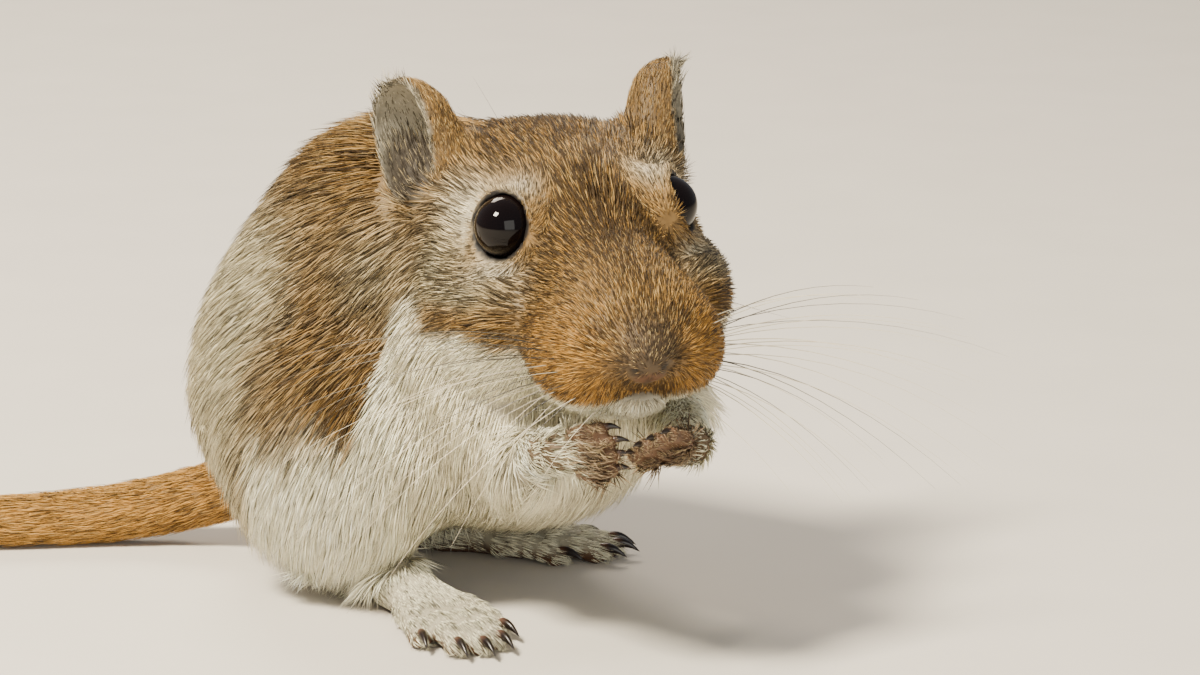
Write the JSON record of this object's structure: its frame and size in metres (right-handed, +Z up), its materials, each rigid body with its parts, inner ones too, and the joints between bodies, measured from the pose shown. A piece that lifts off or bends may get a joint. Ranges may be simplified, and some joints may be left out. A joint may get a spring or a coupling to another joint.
{
  "type": "gerbil model",
  "caption": "Life-size model of a golden agouti gerbil sitting on its hind feet with its fore paws held to its mouth and its tail laid out behind.",
  "frame": {"origin": "middle of the underside of the box round the whole model, on the floor", "axes": "+Z up, the body faces -Y, the animal's right side is towards -X"},
  "size_m": [0.0622, 0.1712, 0.0513],
  "materials": {
    "agouti_fur": "short dense golden-brown fur with dark tips",
    "pale_fur": "short dense cream-white fur",
    "foot_fur": "very short off-white hair over skin",
    "nose_skin": "bare and finely haired skin, matt",
    "eye": "wet black, polished",
    "claw": "dark horn, satin"
  },
  "bodies": {
    "root": {"torso": "agouti_fur", "neck": "agouti_fur", "head": "agouti_fur", "nose": "nose_skin", "jaw": "pale_fur", "eye_right": "eye", "ear_right": "agouti_fur", "whisker_pad_right": "pale_fur", "upper_arm_right": "pale_fur", "forearm_right": "pale_fur", "fore_claw_right_1": "claw", "fore_claw_right_2": "claw", "fore_claw_right_3": "claw", "fore_claw_right_4": "claw", "hand_right": "foot_fur", "thigh_right": "pale_fur", "shank_right": "pale_fur", "hind_claw_right_1": "claw", "hind_claw_right_2": "claw", "hind_claw_right_3": "claw", "hind_claw_right_4": "claw", "hind_claw_right_5": "claw", "hind_foot_right": "foot_fur", "eye_left": "eye", "ear_left": "agouti_fur", "whisker_pad_left": "pale_fur", "upper_arm_left": "pale_fur", "forearm_left": "pale_fur", "fore_claw_left_1": "claw", "fore_claw_left_2": "claw", "fore_claw_left_3": "claw", "fore_claw_left_4": "claw", "hand_left": "foot_fur", "thigh_left": "pale_fur", "shank_left": "pale_fur", "hind_claw_left_1": "claw", "hind_claw_left_2": "claw", "hind_claw_left_3": "claw", "hind_claw_left_4": "claw", "hind_claw_left_5": "claw", "hind_foot_left": "foot_fur", "tail_base": "agouti_fur", "tail_middle": "agouti_fur", "tail_end": "agouti_fur", "tail_tuft": "agouti_fur"}
  },
  "joints": []
}
